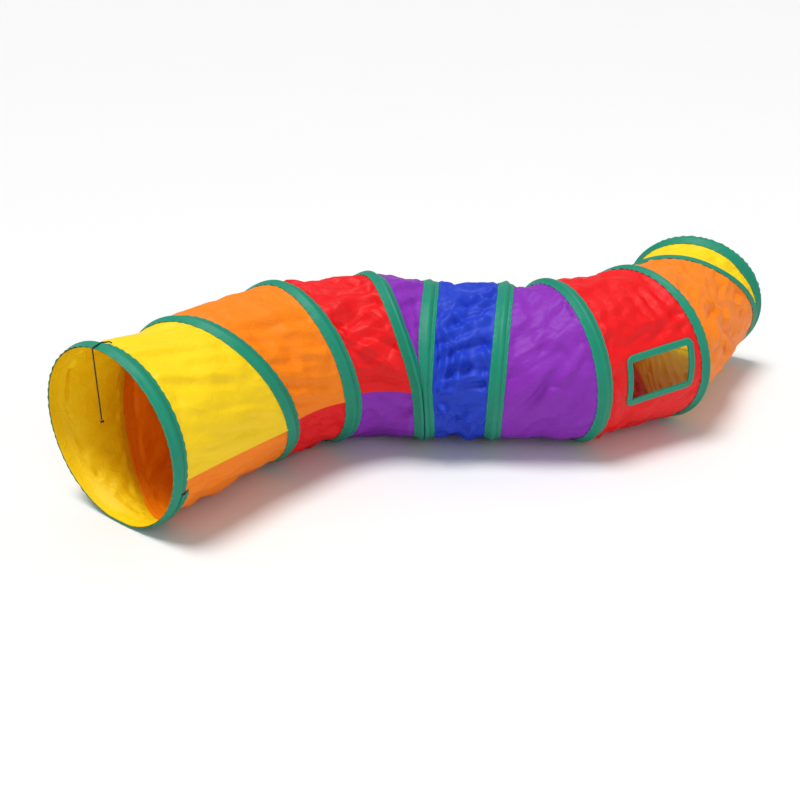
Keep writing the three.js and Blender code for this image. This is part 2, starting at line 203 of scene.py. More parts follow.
def ring_point(plane, angle):
    """The cloth under the wire: its place, the way out of the tunnel and the way along it."""
    cos_angle, sin_angle = np.cos(angle)[:, None], np.sin(angle)[:, None]
    wide = plane["wide"][:, None] - RIDGE
    high = plane["high"][:, None] - RIDGE
    return {
        "at": plane["centre"] + plane["side"] * wide * cos_angle + plane["rise"] * high * sin_angle,
        "out": plane["side"] * cos_angle + plane["rise"] * sin_angle,
        "axis": plane["axis"],
        "forward": plane["forward"],
    }


def angle_at(turn):
    return np.radians(SEAM_ANGLE - 360 * turn)


def pick(mask, yes, no):
    return {key: np.where(mask[:, None], yes[key], no[key]) for key in yes}


def front_hoop(turn):
    return ring_point(plane_at(np.zeros_like(turn)), angle_at(turn))


def back_hoop(turn):
    return ring_point(plane_at(np.full_like(turn, BACK)), angle_at(turn))


def free_wire(turn):
    wire = ring_point(plane_at(turn), angle_at(turn))
    wire = pick(turn <= WIRE_START, front_hoop(turn), wire)
    return pick(turn > WIRE_END, back_hoop(turn), wire)


def coil(turn):
    """The coil, with its turns held apart. The two hoops stay put, and the coil gives way to them."""
    here, before, after = ring_point(plane_at(turn), angle_at(turn)), free_wire(turn - 1), free_wire(turn + 1)

    def shortfall(gap):
        short = NEAREST_TURNS - gap
        return (short + np.hypot(short, SOFTNESS)) / 2

    behind = dot(here["at"] - before["at"], here["forward"])
    ahead = dot(after["at"] - here["at"], here["forward"])
    from_before = shortfall(behind) * np.where(turn - 1 <= WIRE_START, 1, 0.5)[:, None]
    from_after = shortfall(ahead) * np.where(turn + 1 > WIRE_END, 1, 0.5)[:, None]
    return {**here, "at": here["at"] + here["forward"] * (from_before - from_after)}


def wire_at(turn):
    slack = 1e-9
    turn = np.atleast_1d(np.asarray(turn, float))
    wire = pick(turn < WIRE_START - slack, front_hoop(turn), coil(turn))
    return pick(turn > WIRE_END + slack, back_hoop(turn), wire)


def cut_width(turn):
    k = np.minimum(np.floor(turn), BACK).astype(int)
    here, following = HOOPS["cut"][k], HOOPS["cut"][np.minimum(k + 1, BACK)]
    return here + (following - here) * smoothstep(turn - k, 0.2, 0.6)


def over_floor(points, lift):
    """Nothing lies lower than the tape's ridge, which rests on the floor."""
    points[..., 2] = np.maximum(points[..., 2], RIDGE - lift)
    return points


def strip_span(turn):
    """What is the same over the strip's whole width, at each turn."""
    turn = np.atleast_1d(np.asarray(turn, float))
    a, b = wire_at(turn - 1), wire_at(turn)
    span = b["at"] - a["at"]
    width = np.linalg.norm(span, axis=-1)
    slack = np.maximum(cut_width(turn) - width, 0)
    open_width = np.maximum(width - 2 * TAPE_HALF_WIDTH, 0)
    fold = np.minimum(HOURGLASS + FOLD_SHARE * slack, DEEPEST_FOLD)
    fold = np.minimum(fold, STEEPEST_FOLD * open_width)
    return {"turn": turn, "a": a, "b": b, "span": span, "along": unit(span), "width": width, "fold": fold}


def over_strip(span, across, lift):
    """Points over the strip: across runs from 0 at the earlier wire to 1 at the later one."""
    across = np.broadcast_to(across, (len(span["turn"]), np.shape(across)[-1]))[..., None]
    lift = np.broadcast_to(lift, across.shape[:2])[..., None]
    along = span["along"][:, None, :]
    fold, width = span["fold"][:, None, None], span["width"][:, None, None]
    mean = span["a"]["out"][:, None, :] * (1 - across) + span["b"]["out"][:, None, :] * across
    out = unit(mean - along * dot(mean, along))
    normal = unit(out + along * (4 * fold * (1 - 2 * across) / width))
    points = span["a"]["at"][:, None, :] + span["span"][:, None, :] * across
    points = points - out * (4 * fold * across * (1 - across)) + normal * lift
    return over_floor(points, lift[..., 0])


def beside_wire(wire, along, lift):
    """Points beside the wire: along the tunnel, and over the cloth."""
    along = np.broadcast_to(along, (len(wire["at"]), np.shape(along)[-1]))[..., None]
    lift = np.broadcast_to(lift, along.shape[:2])[..., None]
    points = wire["at"][:, None, :] + wire["axis"][:, None, :] * along + wire["out"][:, None, :] * lift
    return over_floor(points, lift[..., 0])


# Noise that is the same at each run


def noise(x, y, seed):
    """Smooth noise between -1 and 1, with one bump to each unit of x and y."""
    size = 64
    table = np.random.default_rng(seed).uniform(-1, 1, (size, size))
    left, low = np.floor(x).astype(int), np.floor(y).astype(int)
    fx, fy = x - left, y - low
    fx, fy = fx * fx * (3 - 2 * fx), fy * fy * (3 - 2 * fy)

    def knot(i, j):
        return table[(left + i) % size, (low + j) % size]

    bottom = knot(0, 0) * (1 - fx) + knot(1, 0) * fx
    top = knot(0, 1) * (1 - fx) + knot(1, 1) * fx
    return bottom * (1 - fy) + top * fy


def crumple(x, y, pitch, seed):
    """Flat facets that meet in sharp straight creases, as thin cloth lies once it has been crushed."""
    rng = np.random.default_rng(seed)
    total = np.zeros(np.broadcast_shapes(x.shape, y.shape))
    for k in range(5):
        turned, phase = rng.uniform(0, math.pi), rng.uniform(0, 1)
        size = pitch * rng.uniform(0.8, 1.9)
        bend = 0.9 * noise(x / (2.2 * pitch), y / (2.2 * pitch), seed + 10 + k)
        place = (x * math.cos(turned) + y * math.sin(turned)) / size + bend + phase
        wave = np.abs(place % 1 - 0.5) * 4 - 1
        strength = np.clip(0.5 + 0.9 * noise(x / (1.8 * pitch), y / (1.8 * pitch), seed + 30 + k), 0, 1)
        total += wave * strength * size / pitch
    return total / 3


def streaks(x, y, direction, long, short, seed):
    """Long soft wrinkles that run in one direction, in degrees from the turn's own."""
    c, s = math.cos(math.radians(direction)), math.sin(math.radians(direction))
    return noise((x * c + y * s) / long, (y * c - x * s) / short, seed)


# Making meshes


def grid_faces(rows, columns, wrap_rows, wrap_columns):
    i, j = np.meshgrid(
        np.arange(rows if wrap_rows else rows - 1),
        np.arange(columns if wrap_columns else columns - 1),
        indexing="ij",
    )
    i2, j2 = (i + 1) % rows, (j + 1) % columns
    faces = np.stack([i * columns + j, i * columns + j2, i2 * columns + j2, i2 * columns + j], -1)
    uv_columns = columns + wrap_columns
    corners = [(i, j), (i, j + 1), (i + 1, j + 1), (i + 1, j)]
    uv = np.stack([a * uv_columns + b for a, b in corners], -1)
    return faces.reshape(-1, 4), uv.reshape(-1, 4)


def grid(points, u, v, wrap_rows=False, wrap_columns=False, caps=False):
    """A grid of points in mm with a place in mm on the cloth for each, as lists that piece_from joins."""
    rows, columns = points.shape[:2]
    faces, uv_index = grid_faces(rows, columns, wrap_rows, wrap_columns)
    shape = (rows + wrap_rows, columns + wrap_columns)
    uv = np.stack([np.broadcast_to(u, shape), np.broadcast_to(v, shape)], -1).reshape(-1, 2)
    polygons = faces.tolist()
    loops = [uv[uv_index].reshape(-1, 2)]
    if caps:
        ends = [list(range(columns))[::-1], [(rows - 1) * columns + j for j in range(columns)]]
        for end in ends:
            polygons.append(end)
            loops.append(uv[:1].repeat(columns, 0))
    return {"points": points.reshape(-1, 3), "faces": polygons, "uv": np.concatenate(loops)}


def piece_from(name, grids, material):
    """One smooth object from several grids."""
    start, points, faces, uv = 0, [], [], []
    for g in grids:
        points.append(g["points"])
        faces += [[start + index for index in face] for face in g["faces"]]
        uv.append(g["uv"])
        start += len(g["points"])
    points = (np.concatenate(points) + OFFSET) * MM
    mesh = bpy.data.meshes.new(name)
    mesh.from_pydata(points.tolist(), [], faces)
    layer = mesh.uv_layers.new(name="cloth")
    layer.data.foreach_set("uv", (np.concatenate(uv) * MM).ravel())
    mesh.shade_smooth()
    mesh.materials.append(material)
    mesh.validate()
    obj = bpy.data.objects.new(name, mesh)
    bpy.context.scene.collection.objects.link(obj)
    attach(obj, "root")
    return obj


def turned_over(g):
    """The same grid with its faces turned over."""
    faces = [face[::-1] for face in g["faces"]]
    count, uv = 0, []
    for face in g["faces"]:
        uv.append(g["uv"][count : count + len(face)][::-1])
        count += len(face)
    return {**g, "faces": faces, "uv": np.concatenate(uv)}


# Materials


def linear(*rgb):
    """A colour given as 0 to 255 for each of red, green and blue, as Blender's sockets want it."""
    share = [c / 255 for c in rgb]
    return tuple(c / 12.92 if c <= 0.04045 else ((c + 0.055) / 1.055) ** 2.4 for c in share)


def opaque(colour, share=1.0):
    """The colour, darkened to a share of itself, with full alpha."""
    return tuple(c * share for c in colour) + (1.0,)


class Nodes:
    """Short ways to add and join nodes in one tree."""

    def __init__(self, tree):
        self.tree = tree

    def add(self, kind, settings=(), **inputs):
        node = self.tree.nodes.new(kind)
        for key, value in dict(settings).items():
            setattr(node, key, value)
        for key, value in inputs.items():
            self.put(node.inputs[key.replace("_", " ")], value)
        return node

    def put(self, socket, value):
        if isinstance(value, bpy.types.NodeSocket):
            self.tree.links.new(value, socket)
        else:
            socket.default_value = value

    def math(self, operation, *values):
        node = self.tree.nodes.new("ShaderNodeMath")
        node.operation = operation
        for socket, value in zip(node.inputs, values):
            self.put(socket, value)
        return node.outputs[0]

    def mix(self, factor, a, b):
        """Mixes two colours. Sockets 6, 7 and 2 are the ones for colours."""
        node = self.tree.nodes.new("ShaderNodeMix")
        node.data_type = "RGBA"
        self.put(node.inputs[0], factor)
        self.put(node.inputs[6], a)
        self.put(node.inputs[7], b)
        return node.outputs[2]

    def finish(self, shader, output="ShaderNodeOutputMaterial"):
        self.put(self.add(output).inputs["Surface"], shader.outputs[0])


def new_group(name, inputs, outputs):
    """A shader node group. inputs and outputs are lists of (name, socket type, default)."""
    tree = bpy.data.node_groups.new(name, "ShaderNodeTree")
    for label, kind, default in inputs:
        socket = tree.interface.new_socket(label, in_out="INPUT", socket_type=kind)
        socket.default_value = default
    for label, kind in outputs:
        tree.interface.new_socket(label, in_out="OUTPUT", socket_type=kind)
    n = Nodes(tree)
    return n, tree.nodes.new("NodeGroupInput").outputs, tree.nodes.new("NodeGroupOutput").inputs


FLOAT, COLOUR, VECTOR = "NodeSocketFloat", "NodeSocketColor", "NodeSocketVector"


def weave_group():
    """Plain weave: threads over and under along both directions of the cloth."""
    n, given, out = new_group(
        "Plain weave",
        [("Thread", FLOAT, 0.0004), ("Unevenness", FLOAT, 0.3)],
        [("Height", FLOAT), ("Shade", FLOAT)],
    )
    place = n.add("ShaderNodeTexCoord").outputs["UV"]
    axes = n.add("ShaderNodeSeparateXYZ", Vector=place).outputs
    frequency = n.math("DIVIDE", math.pi, given["Thread"])
    waves = [n.math("SINE", n.math("MULTIPLY", axis, frequency)) for axis in axes[:2]]
    height = n.math("MULTIPLY", waves[0], waves[1])
    rough = n.add("ShaderNodeTexNoise", Vector=place, Scale=900.0, Detail=2.0).outputs["Fac"]
    n.put(out["Height"], n.math("ADD", height, n.math("MULTIPLY", rough, given["Unevenness"])))
    slub = n.add("ShaderNodeTexNoise", Vector=place, Scale=60.0, Detail=4.0).outputs["Fac"]
    n.put(out["Shade"], slub)
    return n.tree


def crease_group():
    """Fine creases too small for the mesh, and the faint lines that folding has left."""
    n, given, out = new_group(
        "Fine creases",
        [("Size", FLOAT, 0.03), ("Amount", FLOAT, 1.0)],
        [("Height", FLOAT)],
    )
    place = n.add("ShaderNodeTexCoord").outputs["UV"]
    scale = n.math("DIVIDE", 1.0, given["Size"])
    bent = n.add("ShaderNodeTexNoise", Vector=place, Scale=scale, Detail=2.0, Distortion=0.6).outputs["Fac"]
    drift = n.add("ShaderNodeTexNoise", Vector=place, Scale=n.math("MULTIPLY", scale, 0.8)).outputs["Color"]
    reach = n.math("MULTIPLY", given["Size"], 0.7)
    shift = n.add("ShaderNodeVectorMath", {"operation": "SCALE"}, Scale=reach)
    n.put(shift.inputs[0], drift)
    moved = n.add("ShaderNodeVectorMath", {"operation": "ADD"})
    n.put(moved.inputs[0], place)
    n.put(moved.inputs[1], shift.outputs[0])
    edges = {"feature": "DISTANCE_TO_EDGE"}
    cells = n.add("ShaderNodeTexVoronoi", edges, Vector=moved.outputs[0], Scale=scale)
    edge = n.math("MULTIPLY", n.math("MINIMUM", cells.outputs["Distance"], 0.12), 2.2)
    height = n.math("ADD", bent, edge)
    n.put(out["Height"], n.math("MULTIPLY", height, given["Amount"]))
    return n.tree


def stitch_group():
    """A row of stitches at a given distance to each side of the piece's middle line."""
    n, given, out = new_group(
        "Stitch rows",
        [("Row", FLOAT, 0.0085), ("Pitch", FLOAT, 0.0028), ("Thread", FLOAT, 0.0004)],
        [("Thread mask", FLOAT), ("Dent", FLOAT)],
    )
    axes = n.add("ShaderNodeSeparateXYZ", Vector=n.add("ShaderNodeTexCoord").outputs["UV"]).outputs
    aside = n.math("ABSOLUTE", n.math("SUBTRACT", n.math("ABSOLUTE", axes[1]), given["Row"]))
    near = n.math("SUBTRACT", 1.0, n.math("MINIMUM", n.math("DIVIDE", aside, given["Thread"]), 1.0))
    place = n.math("FRACT", n.math("DIVIDE", axes[0], given["Pitch"]))
    part = n.math("LESS_THAN", place, 0.72)
    n.put(out["Thread mask"], n.math("MULTIPLY", n.math("GREATER_THAN", near, 0.01), part))
    wide = n.math("MULTIPLY", given["Thread"], 3.0)
    dent = n.math("SUBTRACT", 1.0, n.math("MINIMUM", n.math("DIVIDE", aside, wide), 1.0))
    n.put(out["Dent"], n.math("MULTIPLY", dent, n.math("SUBTRACT", 1.3, part)))
    return n.tree


GROUPS = {}


def effect(n, name, make, **inputs):
    """Places a shared node group in a material with its own values."""
    if name not in GROUPS:
        GROUPS[name] = make()
    node = n.tree.nodes.new("ShaderNodeGroup")
    node.node_tree = GROUPS[name]
    for key, value in inputs.items():
        n.put(node.inputs[key], value)
    return node.outputs


def bare_material(name):
    material = bpy.data.materials.new(name)
    material.use_nodes = True
    material.node_tree.nodes.clear()
    return material, Nodes(material.node_tree)


def thin_cloth(name, colour):
    """Thin shiny woven polyester that lets some light through."""
    material, n = bare_material(name)
    weave = effect(n, "weave", weave_group, Thread=0.0005)
    creases = effect(n, "creases", crease_group, Size=0.022, Amount=0.9)
    shade = n.math("MULTIPLY", weave["Shade"], 0.45)
    cloth = n.mix(shade, opaque(colour), opaque(colour, 0.8))
    height = n.math("ADD", creases["Height"], n.math("MULTIPLY", weave["Height"], 0.03))
    bump = n.add("ShaderNodeBump", Strength=0.7, Distance=0.0014, Height=height).outputs["Normal"]
    shader = n.add("ShaderNodeBsdfPrincipled", Base_Color=cloth, Roughness=0.5, Normal=bump)
    shader.inputs["Specular IOR Level"].default_value = 0.28
    glow = n.add("ShaderNodeBsdfTranslucent", Color=cloth, Normal=bump)
    both = n.add("ShaderNodeMixShader", Fac=0.07)
    n.put(both.inputs[1], shader.outputs[0])
    n.put(both.inputs[2], glow.outputs[0])
    n.finish(both)
    return material


def stitched_tape(name, colour, thread, row, fold):
    """Close-woven tape with a row of stitches along each edge and one fold line along it, with painted shade
    in the stitch dents and along the fold line.
    """
    material, n = bare_material(name)
    weave = effect(n, "weave", weave_group, Thread=0.0007)
    stitches = effect(n, "stitches", stitch_group, Row=row)
    creases = effect(n, "creases", crease_group, Size=0.02, Amount=0.5)
    cloth = n.mix(n.math("MULTIPLY", weave["Shade"], 0.5), opaque(colour), opaque(colour, 0.7))
    # Painted shade: the tape's colour is darkened towards 0.35 of itself in the stitch dents.
    cloth = n.mix(n.math("MULTIPLY", stitches["Dent"], 0.5), cloth, opaque(colour, 0.35))
    # Painted shade: a dark line, down to 0.3 of the tape's colour, is painted along the fold line.
    across = n.add("ShaderNodeSeparateXYZ", Vector=n.add("ShaderNodeTexCoord").outputs["UV"]).outputs[1]
    from_fold = n.math("ABSOLUTE", n.math("SUBTRACT", across, fold))
    fold_shade_mask = n.math("SUBTRACT", 0.5, n.math("MINIMUM", n.math("DIVIDE", from_fold, 0.0024), 0.5))
    cloth = n.mix(fold_shade_mask, cloth, opaque(colour, 0.3))
    cloth = n.mix(stitches["Thread mask"], cloth, opaque(thread))
    raised = n.math("MULTIPLY", stitches["Thread mask"], 0.8)
    height = n.math("SUBTRACT", raised, stitches["Dent"])
    height = n.math("ADD", height, n.math("MULTIPLY", weave["Height"], 0.12))
    height = n.math("ADD", height, n.math("MULTIPLY", creases["Height"], 0.8))
    bump = n.add("ShaderNodeBump", Strength=0.6, Distance=0.0006, Height=height).outputs["Normal"]
    shader = n.add("ShaderNodeBsdfPrincipled", Base_Color=cloth, Roughness=0.5, Normal=bump)
    shader.inputs["Specular IOR Level"].default_value = 0.35
    n.finish(shader)
    return material


def twisted_string(name, colour):
    """Two-ply string: a slanted twist along its length, with painted shade in its grooves."""
    material, n = bare_material(name)
    place = n.add("ShaderNodeTexCoord").outputs["Object"]
    slanted = {"bands_direction": "DIAGONAL"}
    twist = n.add("ShaderNodeTexWave", slanted, Vector=place, Scale=420.0, Distortion=1.0).outputs["Fac"]
    # Painted shade: the string's colour is darkened to 0.4 of itself in the grooves of the twist.
    shade = n.mix(twist, opaque(colour, 0.4), opaque(colour))
    bump = n.add("ShaderNodeBump", Strength=0.6, Distance=0.0003, Height=twist).outputs["Normal"]
    n.finish(n.add("ShaderNodeBsdfPrincipled", Base_Color=shade, Roughness=0.7, Normal=bump))
    return material


def drawn_steel(name):
    material, n = bare_material(name)
    place = n.add("ShaderNodeTexCoord").outputs["Object"]
    marks = n.add("ShaderNodeTexNoise", Vector=place, Scale=700.0, Detail=3.0).outputs["Fac"]
    rough = n.add("ShaderNodeMapRange", Value=marks, To_Min=0.22, To_Max=0.42).outputs[0]
    grey = opaque(linear(165, 168, 172))
    n.finish(n.add("ShaderNodeBsdfPrincipled", Base_Color=grey, Roughness=rough, Metallic=1.0))
    return material


# Sizes and colours


def colour_property(label, *rgb):
    return FloatVectorProperty(
        name=label,
        description="Colour of the " + label.lower(),
        subtype="COLOR",
        size=3,
        min=0.0,
        max=1.0,
        default=linear(*rgb),
    )


def length_property(label, about, metres):
    return FloatProperty(name=label, description=about, default=metres, unit="LENGTH", subtype="DISTANCE")


def light_property(label, about, strength):
    return FloatProperty(name=label, description=about, default=strength, min=0.0)


class CatTunnelSizes(PropertyGroup):
    """What a maker would change on the tunnel."""

    creases: FloatProperty(
        name="Creases", description="How deep the cloth's creases are", default=1.5, min=0.0, max=2.0
    )
    puckers: length_property("Puckers", "Height of the tape's puckers along its stitching", 0.0006)
    tape_thickness: length_property("Tape thickness", "Thickness of the green tape", 0.0006)
    string_diameter: length_property("String", "Thickness of the string", 0.0018)


class CatTunnelColours(PropertyGroup):
    """The cloth's, tape's and string's colours."""

    yellow: colour_property("Yellow cloth", 255, 216, 14)
    orange: colour_property("Orange cloth", 255, 134, 2)
    red: colour_property("Red cloth", 236, 10, 16)
    purple: colour_property("Purple cloth", 138, 40, 182)
    blue: colour_property("Blue cloth", 26, 62, 200)
    green: colour_property("Green tape", 0, 138, 108)
    thread: colour_property("Thread", 40, 178, 144)
    string: colour_property("String", 30, 30, 32)


class CatTunnelStudio(PropertyGroup):
    """The plain studio round the tunnel."""

    floor: colour_property("Floor", 234, 234, 234)
    key_light: light_property("Key light", "Strength of the soft light overhead", 2.55)
    fill_light: light_property("Fill light", "Power of the light by the camera", 12.0)
    room_light: light_property("Room light", "Strength of the light from all round", 0.45)


# The cloth


def crease_height(node, turn, across, width):
    """How far the cloth lies over or under its even surface, in mm, at each place of the strip."""
    sizes = bpy.context.scene.cat_tunnel_sizes
    x, y = turn * TURN_LENGTH, across * width
    seed = 100 + 17 * [s["node"] for s in STRIPS].index(node)
    look = CLOTH_LOOK[node]
    height = look["crumple"] * crumple(x, y, look["pitch"], seed)
    height = height + look["streaks"] * streaks(x, y, look["direction"], *WRINKLE, seed + 5)
    height = height + look["waves"] * noise(x / WAVE, y / WAVE, seed + 6)
    for row in CREASES[node]:
        height = height + one_crease(x, y, width, *row)
    from_tape = np.minimum(y, width - y) - TAPE_HALF_WIDTH
    height = height * smoothstep(from_tape, -1, BESIDE_TAPE)
    ripples = np.sin(x / GATHER_PITCH + 3 * noise(x / 30, y / 60, seed + 7))
    gathers = ripples * np.exp(-np.abs(from_tape) / BESIDE_TAPE)
    height = height + GATHER_DEPTH * gathers * smoothstep(from_tape, -2, 4)
    return height * sizes.creases


def one_crease(x, y, width, turn_0, across_0, turn_1, across_1, half_width, rise):
    """A ridge, or a trough where rise is negative, from one place of the strip to another."""
    x0, x1 = turn_0 * TURN_LENGTH, turn_1 * TURN_LENGTH
    y0, y1 = across_0 * width, across_1 * width
    dx, dy = x1 - x0, y1 - y0
    length = np.sqrt(dx * dx + dy * dy)
    share = ((x - x0) * dx + (y - y0) * dy) / (length * length)
    nearest = np.clip(share, 0, 1)
    away = np.hypot(x - x0 - nearest * dx, y - y0 - nearest * dy) / half_width
    taper = np.sin(np.pi * np.clip(0.12 + 0.76 * nearest, 0, 1))
    return rise * taper * np.exp(-np.power(away, 1.25))


# How each strip lies: the depth in mm of its crushed facets and their pitch, of its long wrinkles and their
# direction, and of its broad waves
LOOK_COLUMNS = ("crumple", "pitch", "streaks", "direction", "waves")
LOOK_ROWS = {
    "cloth_yellow_front": (1.4, 44, 2.2, 72, 2),
    "cloth_orange_front": (1.8, 38, 2, 70, 2),
    "cloth_red_front": (4.4, 38, 1.8, 118, 2),
    "cloth_purple_front": (1.8, 36, 2, 120, 2),
    "cloth_blue": (6.6, 30, 1.0, 80, 1.0),
    "cloth_blue_join": (6.6, 30, 1.0, 80, 1.0),
    "cloth_purple_back": (2, 38, 2.8, -32, 2),
    "cloth_red_window": (2.6, 34, 1.8, 110, 2),
    "cloth_orange_back": (3.4, 34, 1.8, 112, 2),
    "cloth_yellow_back": (1.8, 34, 1.4, 70, 0.7),
}
CLOTH_LOOK = {node: dict(zip(LOOK_COLUMNS, row)) for node, row in LOOK_ROWS.items()}

# Creases placed one by one: from turn and across to turn and across, half width and rise in mm. Most ends
# were picked in the photograph, and their places on the strip were worked out from it and rounded.
CREASES = {
    "cloth_yellow_front": (
        (0.83, 0.16, 0.85, 0.16, 5, -2.4),
        (0.73, 0.30, 0.795, 0.66, 9, -1.2),
        (0.785, 0.22, 0.86, 0.65, 8, 1.4),
        (0.865, 0.06, 0.89, 0.70, 7, -1.3),
        (0.90, 0.05, 0.925, 0.73, 6, 1.3),
        (0.74, 0.71, 0.83, 0.81, 7, 1.1),
        (0.85, 0.16, 0.885, 0.40, 6, 1.4),
        (0.93, 0.10, 0.94, 0.60, 5, -1.2),
        (0.70, 0.20, 0.745, 0.50, 9, 1.1),
        (0.80, 0.55, 0.87, 0.92, 7, -1.1),
    ),
    "cloth_orange_front": (
        (1.73, 0.25, 1.81, 0.29, 9, -1.8),
        (1.71, 0.53, 1.795, 0.61, 8, 1.6),
        (1.815, 0.40, 1.88, 0.61, 7, -1.6),
        (1.915, 0.08, 1.905, 0.68, 6, 1.6),
        (1.76, 0.60, 1.86, 0.90, 8, -1.5),
        (1.85, 0.12, 1.88, 0.45, 7, 1.5),
        (1.68, 0.30, 1.72, 0.75, 9, -1.3),
        (1.04, 0.12, 1.025, 0.53, 6, 1.6),
        (1.00, 0.06, 0.98, 0.42, 5, -1.4),
        (1.055, 0.22, 1.035, 0.86, 6, -1.6),
        (1.02, 0.08, 1.00, 0.70, 5, 1.3),
    ),
    "cloth_red_front": (
        (2.84, 0.14, 2.815, 0.35, 5, -3.4),
        (2.815, 0.35, 2.79, 0.61, 5, -2.8),
        (2.80, 0.24, 2.82, 0.27, 4, -2.2),
        (2.83, 0.20, 2.82, 0.33, 4, 2.2),
        (2.76, 0.76, 2.75, 0.90, 5, -2.0),
        (2.79, 0.61, 2.78, 0.84, 6, 2.2),
        (2.75, 0.31, 2.78, 0.45, 6, 2.0),
        (2.865, 0.24, 2.845, 0.65, 7, 2.2),
        (2.895, 0.21, 2.87, 0.66, 7, -2.0),
        (2.75, 0.25, 2.715, 0.52, 7, -1.8),
        (2.855, 0.19, 2.905, 0.71, 7, 2.0),
        (2.90, 0.55, 2.84, 0.90, 6, -2.0),
        (1.97, 0.20, 2.02, 0.80, 7, -1.8),
        (2.03, 0.15, 1.98, 0.70, 6, 1.6),
    ),
    "cloth_purple_front": (
        (2.96, 0.30, 3.03, 0.85, 8, -1.6),
        (2.98, 0.20, 3.04, 0.60, 8, 1.5),
        (3.70, 0.30, 3.76, 0.80, 7, -1.5),
        (3.77, 0.25, 3.73, 0.75, 6, 1.5),
    ),
    "cloth_blue": (
        (4.85, 0.42, 4.835, 0.26, 4, -3.2),
        (4.85, 0.42, 4.845, 0.22, 4, 2.6),
        (4.85, 0.42, 4.825, 0.31, 4, 2.4),
        (4.85, 0.42, 4.84, 0.61, 5, -3.2),
        (4.85, 0.42, 4.865, 0.40, 4, 2.2),
        (4.765, 0.30, 4.805, 0.46, 6, -4.2),
        (4.765, 0.30, 4.815, 0.67, 5, 3.2),
        (4.85, 0.42, 4.895, 0.82, 6, 3.2),
        (4.765, 0.30, 4.72, 0.67, 6, -3.4),
        (4.805, 0.46, 4.85, 0.42, 5, 3.0),
        (4.765, 0.30, 4.705, 0.20, 6, 3.0),
        (4.815, 0.67, 4.85, 0.86, 5, -3.2),
        (4.895, 0.61, 4.91, 0.21, 5, -3.0),
        (4.925, 0.18, 4.945, 0.50, 4, 2.8),
        (4.925, 0.18, 4.90, 0.45, 5, 2.6),
        (4.70, 0.55, 4.76, 0.85, 6, 3.0),
        (4.74, 0.80, 4.80, 0.60, 5, -2.8),
        (4.88, 0.75, 4.93, 0.85, 5, -2.6),
        (4.68, 0.25, 4.71, 0.80, 6, -2.6),
    ),
    "cloth_blue_join": (
        (4.955, 0.30, 4.965, 0.60, 4, 2.8),
        (4.96, 0.44, 5.06, 0.42, 6, -4.0),
        (4.96, 0.25, 5.03, 0.30, 6, 3.0),
        (4.97, 0.62, 5.05, 0.70, 6, 3.0),
        (5.00, 0.44, 4.97, 0.80, 5, -2.8),
    ),
    "cloth_purple_back": (
        (6.00, 0.11, 5.925, 0.44, 7, -2.0),
        (5.95, 0.11, 5.89, 0.49, 6, 1.8),
        (5.91, 0.10, 5.855, 0.60, 6, -1.8),
        (5.87, 0.11, 5.815, 0.70, 6, 1.8),
        (5.84, 0.12, 5.79, 0.69, 6, -1.8),
        (5.925, 0.44, 5.92, 0.62, 5, -2.2),
        (5.925, 0.44, 5.955, 0.86, 7, 1.8),
        (5.925, 0.44, 6.005, 0.61, 7, 1.8),
        (5.92, 0.49, 5.885, 0.78, 6, 1.6),
        (5.81, 0.12, 5.755, 0.60, 7, 1.6),
        (5.78, 0.12, 5.73, 0.50, 7, -1.6),
    ),
    "cloth_red_window": (
        (6.795, 0.54, 6.83, 0.59, 5, -2.2),
        (6.765, 0.38, 6.765, 0.63, 6, 1.6),
        (6.825, 0.46, 6.825, 0.76, 6, 1.8),
        (6.85, 0.56, 6.845, 0.92, 6, -1.6),
        (6.86, 0.25, 6.84, 0.53, 5, -2.2),
        (6.73, 0.32, 6.73, 0.61, 7, -1.5),
        (6.90, 0.10, 6.96, 0.16, 5, -1.8),
        (6.80, 0.20, 6.83, 0.42, 6, 1.6),
        (6.78, 0.62, 6.83, 0.90, 7, -1.6),
        (7.02, 0.30, 7.00, 0.80, 7, 1.5),
    ),
    "cloth_orange_back": (
        (7.81, 0.92, 7.84, 0.45, 7, -3.4),
        (7.845, 0.39, 7.82, 0.32, 5, 2.6),
        (7.845, 0.39, 7.875, 0.55, 5, 2.4),
        (7.845, 0.39, 7.86, 0.17, 5, -2.6),
        (7.85, 0.10, 7.895, 0.08, 5, 1.8),
        (7.86, 0.25, 7.915, 0.18, 5, 2.0),
        (7.75, 0.55, 7.795, 0.39, 6, -2.2),
        (7.895, 0.34, 8.00, 0.70, 7, -2.2),
        (7.80, 0.20, 7.76, 0.60, 7, 2.0),
        (7.84, 0.62, 7.90, 0.85, 6, 2.2),
    ),
    "cloth_yellow_back": (
        (8.705, 0.85, 8.77, 0.58, 6, -1.4),
        (8.80, 0.80, 8.90, 0.30, 6, 1.4),
    ),
}

WINDOW = {"turn": 6.927, "across": 0.54, "width": 122.0, "height": 77.0, "corner": 12.0, "turned": 4.0}
WINDOW_CALM = 14.0
NEAR_WALL = 40.0
BINDING_WIDTH = 10.0
CLOTH_IN_BINDING = 8.6
SMALLEST_CORNER = 3.0


def window_axes():
    """The window's middle, and its two directions in the cloth."""
    turn, across = WINDOW["turn"], WINDOW["across"]

    def place(t, v):
        return over_strip(strip_span([t]), [v], 0.0)[0, 0]

    centre = place(turn, across)
    right = unit(place(turn, across + 0.2) - place(turn, across - 0.2))
    up = unit(place(turn - 0.03, across) - place(turn + 0.03, across))
    outward = unit(np.cross(right, up))
    upright = np.cross(outward, right)
    turned = math.radians(WINDOW["turned"])
    c, s = math.cos(turned), math.sin(turned)
    return centre, right * c + upright * s, upright * c - right * s


